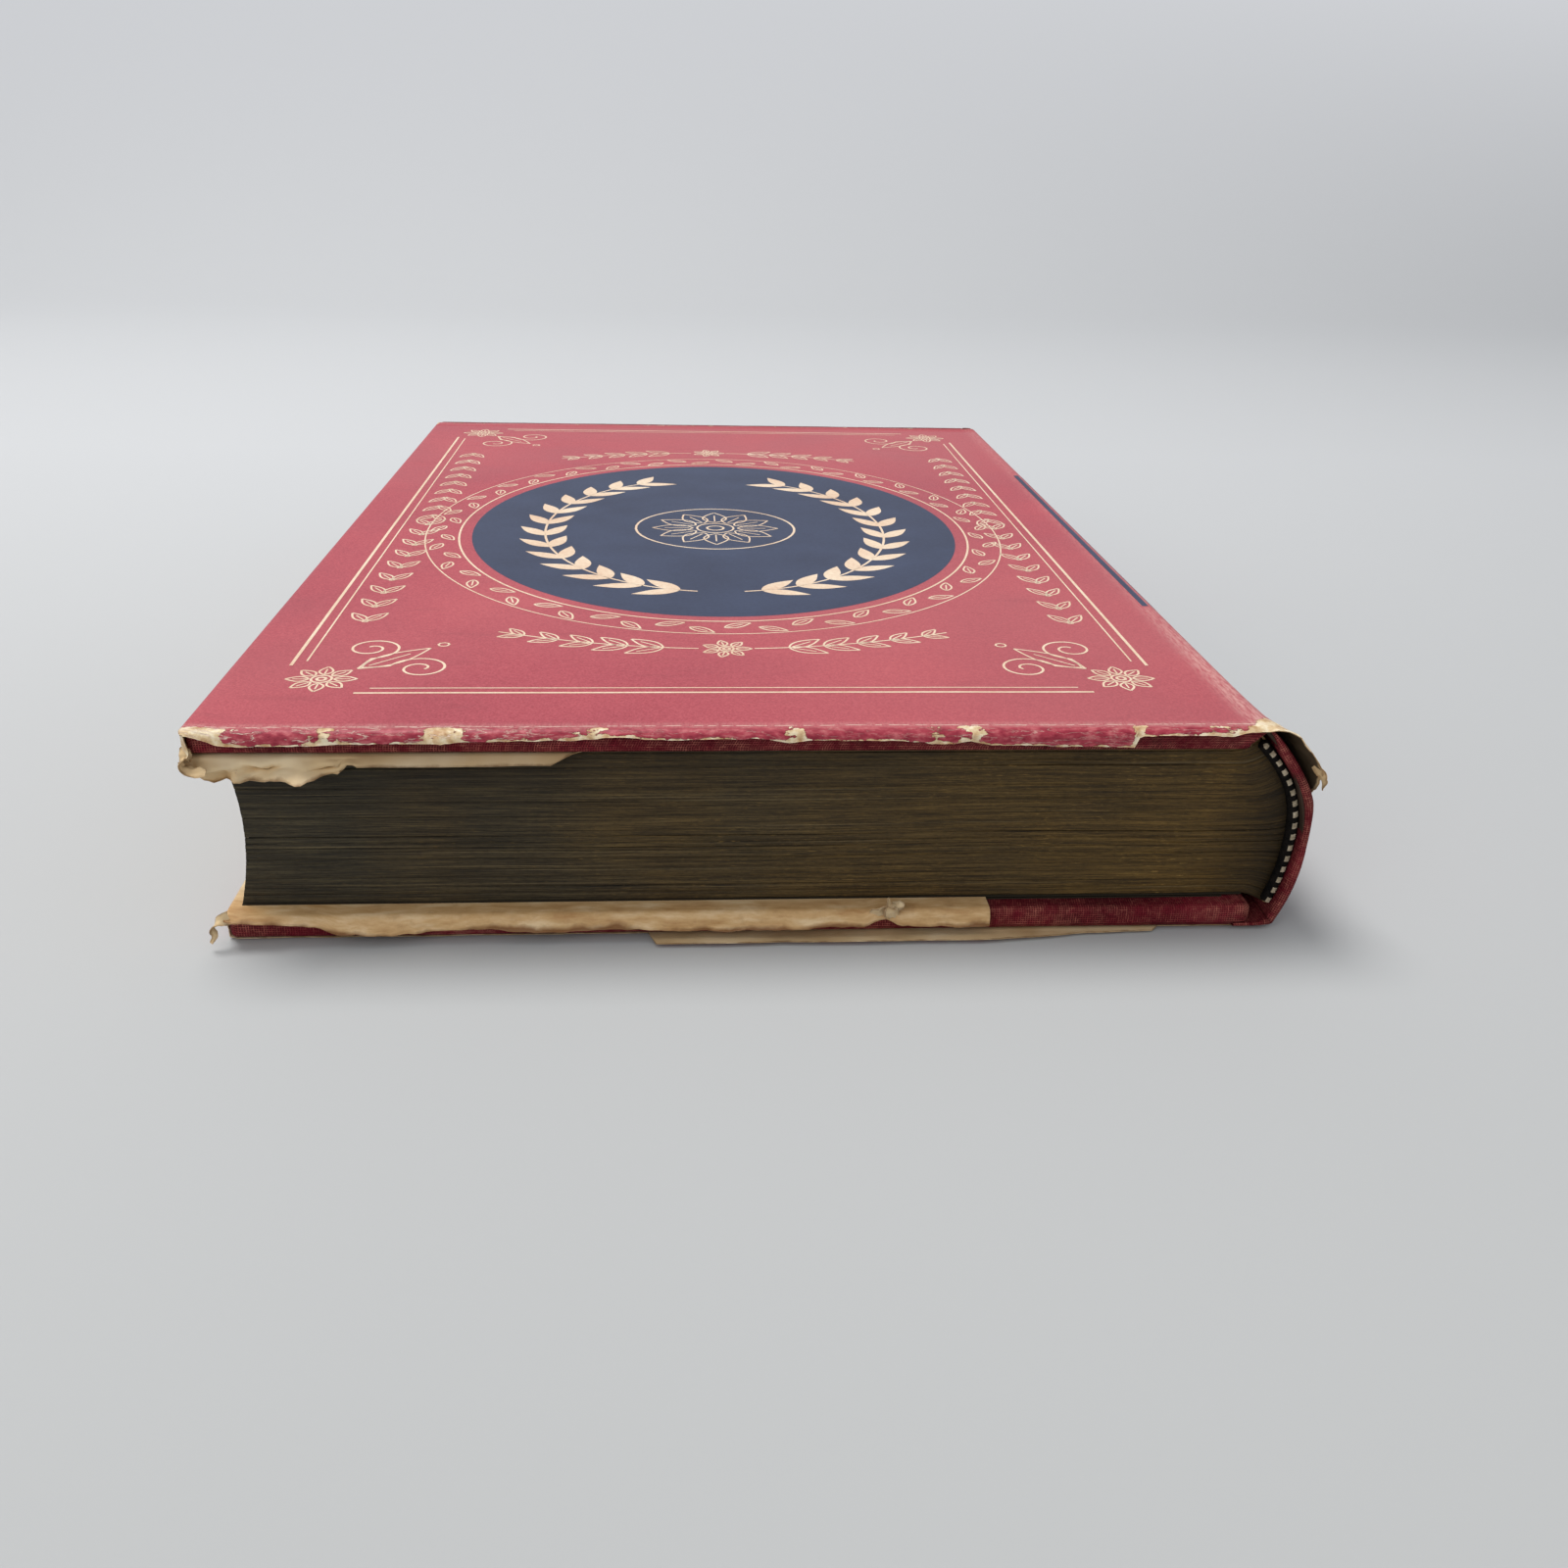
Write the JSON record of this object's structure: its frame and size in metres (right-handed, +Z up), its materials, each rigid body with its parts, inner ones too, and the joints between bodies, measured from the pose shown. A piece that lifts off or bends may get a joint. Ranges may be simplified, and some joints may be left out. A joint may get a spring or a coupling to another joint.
{
  "type": "hardcover book",
  "caption": "Thick clothbound hardcover book in a worn rose dust jacket with a navy oval, lying shut, with both covers hinged at the spine.",
  "frame": {"origin": "middle of the book's footprint, on the surface it lies on", "axes": "+Z up out of the front cover, +X towards the spine, -X towards the fore-edge, -Y towards the head, +Y towards the tail"},
  "size_m": [0.1654, 0.2384, 0.0342],
  "materials": {
    "pages": "leaf edges, darkened along the head and toned elsewhere",
    "gauze": "open weave, glued",
    "lining_paper": "brown kraft paper",
    "band_thread": "black and cream thread wound in stripes",
    "endpaper": "matt, toned",
    "board": "grey-brown binder's board",
    "book_cloth": "coarse plain-weave maroon book cloth with lighter threads",
    "jacket_paper": "rose-printed dust jacket, cream inside, rubbed and chipped along its edges",
    "navy_ink": "flat navy print",
    "cream_ink": "flat cream print"
  },
  "bodies": {
    "text_block": {"text_block": "pages", "mull": "gauze", "spine_lining": "lining_paper", "headband": "band_thread", "tailband": "band_thread", "front_flyleaf": "endpaper", "rear_flyleaf": "endpaper", "spine_inlay": "board", "spine_cloth": "book_cloth", "jacket_spine": "jacket_paper", "spine_band_print": "navy_ink"},
    "front_cover": {"front_board": "board", "front_cloth": "book_cloth", "front_pastedown": "endpaper", "jacket_front": "jacket_paper", "oval_print": "navy_ink", "ornament_print": "cream_ink"},
    "rear_cover": {"rear_board": "board", "rear_cloth": "book_cloth", "rear_pastedown": "endpaper", "jacket_rear": "jacket_paper"}
  },
  "joints": [
    {"name": "front_cover_hinge", "type": "hinge", "parent": "text_block", "child": "front_cover", "pos_m": [0.07143, 0, 0.0342], "axis": [0, 1, 0], "range_deg": [0, 180]},
    {"name": "rear_cover_hinge", "type": "hinge", "parent": "text_block", "child": "rear_cover", "pos_m": [0.07343, 0, 0], "axis": [0, -1, 0], "range_deg": [0, 180]}
  ]
}
